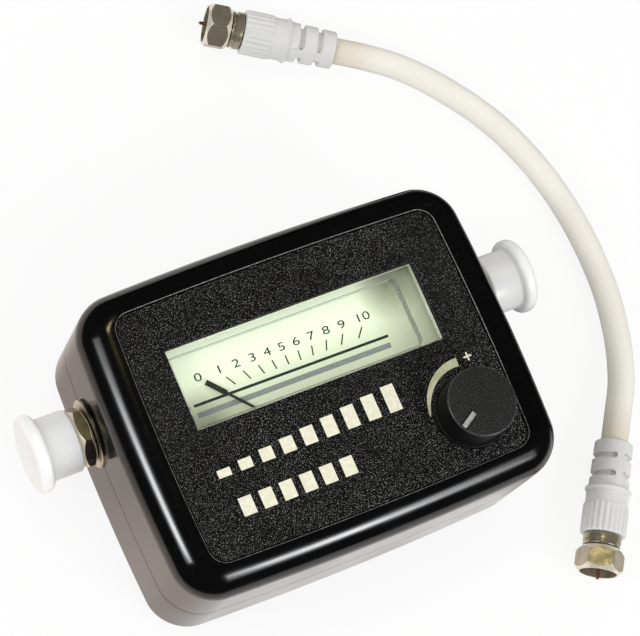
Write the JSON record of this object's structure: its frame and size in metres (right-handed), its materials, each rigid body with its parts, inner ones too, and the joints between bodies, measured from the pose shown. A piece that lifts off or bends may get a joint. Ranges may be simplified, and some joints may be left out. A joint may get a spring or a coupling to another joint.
{
  "type": "satellite signal meter",
  "caption": "Handheld satellite signal meter: two-shell black case, recessed dial behind a clear window, gain knob, threaded sockets with dust caps on both ends, loose coaxial jumper lead.",
  "frame": {"origin": "centre of the meter's footprint on the plane it rests on, its flat back; the loose lead lies beside it on the same plane", "axes": "+X along the case's length to the socket on the right of the face, +Y across the face from the knob's side to the window's side, +Z out of the face"},
  "size_m": [0.1703, 0.1821, 0.0554],
  "materials": {
    "black_gloss": "glossy black moulded plastic",
    "black_grain": "fine grain",
    "black_satin": "satin black",
    "pointer_grey": "satin grey",
    "clear_plastic": "clear moulded plastic",
    "dial_cream": "matt greenish cream print",
    "nickel": "bright nickel plate on brass",
    "copper": "bare copper",
    "brass": "brushed brass",
    "steel": "zinc plated steel",
    "magnet_grey": "dull sintered grey",
    "insulator_white": "white moulded plastic",
    "ribbon_grey": "grey flat cable",
    "cap_milky": "milky translucent soft plastic",
    "board_green": "green lacquered board",
    "cable_ivory": "ivory flexible jacket",
    "boot_white": "off-white soft moulding"
  },
  "bodies": {
    "case": {"amplifier_chip": "black_satin", "back_case": "black_gloss", "bearing_bridge": "brass", "board_screw_1": "steel", "board_screw_2": "steel", "case_screw_1": "steel", "case_screw_2": "steel", "case_screw_3": "steel", "case_screw_4": "steel", "circuit_board": "board_green", "core_magnet": "magnet_grey", "dial_lamp": "insulator_white", "dial_plate": "dial_cream", "face_plate": "black_grain", "front_case": "black_gloss", "gain_pot": "steel", "magnet_yoke": "steel", "meter_base": "black_satin", "meter_cover": "clear_plastic", "meter_terminal_1": "nickel", "meter_terminal_2": "nickel", "pass_choke": "copper", "pot_nut": "nickel", "pot_ribbon": "ribbon_grey", "pot_washer": "steel", "socket_body_left": "nickel", "socket_body_right": "nickel", "socket_contact_left": "brass", "socket_contact_right": "brass", "socket_insulator_left": "insulator_white", "socket_insulator_right": "insulator_white", "socket_nut_left": "nickel", "socket_nut_right": "nickel", "socket_washer_left": "nickel", "socket_washer_right": "nickel", "supply_capacitor": "steel"},
    "needle": {"needle": "black_satin", "meter_coil": "copper"},
    "knob": {"knob": "black_satin", "knob_pointer": "pointer_grey", "pot_shaft": "steel"},
    "dust_cap_left": {"dust_cap_left": "cap_milky"},
    "dust_cap_right": {"dust_cap_right": "cap_milky"},
    "lead": {"lead_cable": "cable_ivory", "lead_boot_a": "boot_white", "lead_boot_b": "boot_white", "plug_body_a": "nickel", "plug_body_b": "nickel", "plug_pin_a": "copper", "plug_pin_b": "copper"},
    "plug_nut_a": {"plug_nut_a": "nickel"},
    "plug_nut_b": {"plug_nut_b": "nickel"}
  },
  "joints": [
    {"name": "needle_swing", "type": "hinge", "parent": "case", "child": "needle", "pos_m": [-0.004, -0.0138, 0.03], "axis": [0, 0, -1], "range_deg": [0, 82], "stiffness_Nm_per_rad": 0.00002},
    {"name": "knob_turn", "type": "hinge", "parent": "case", "child": "knob", "pos_m": [0.0308, -0.0198, 0], "axis": [0, 0, -1], "range_deg": [-30, 270]},
    {"name": "dust_cap_left_pull", "type": "slide", "parent": "case", "child": "dust_cap_left", "axis": [-1, 0, 0], "range_m": [0, 0.015]},
    {"name": "dust_cap_right_pull", "type": "slide", "parent": "case", "child": "dust_cap_right", "axis": [1, 0, 0], "range_m": [0, 0.015]},
    {"name": "lead_lift", "type": "slide", "parent": "case", "child": "lead", "axis": [0, 0, 1], "range_m": [0, 0.1]},
    {"name": "plug_nut_a_spin", "type": "hinge", "parent": "lead", "child": "plug_nut_a", "pos_m": [0.0211, 0.1085, 0.0064], "axis": [0.859, -0.512, 0], "continuous": true},
    {"name": "plug_nut_b_spin", "type": "hinge", "parent": "lead", "child": "plug_nut_b", "pos_m": [0.0592, -0.0671, 0.0064], "axis": [0.5505, 0.8348, 0], "continuous": true}
  ]
}
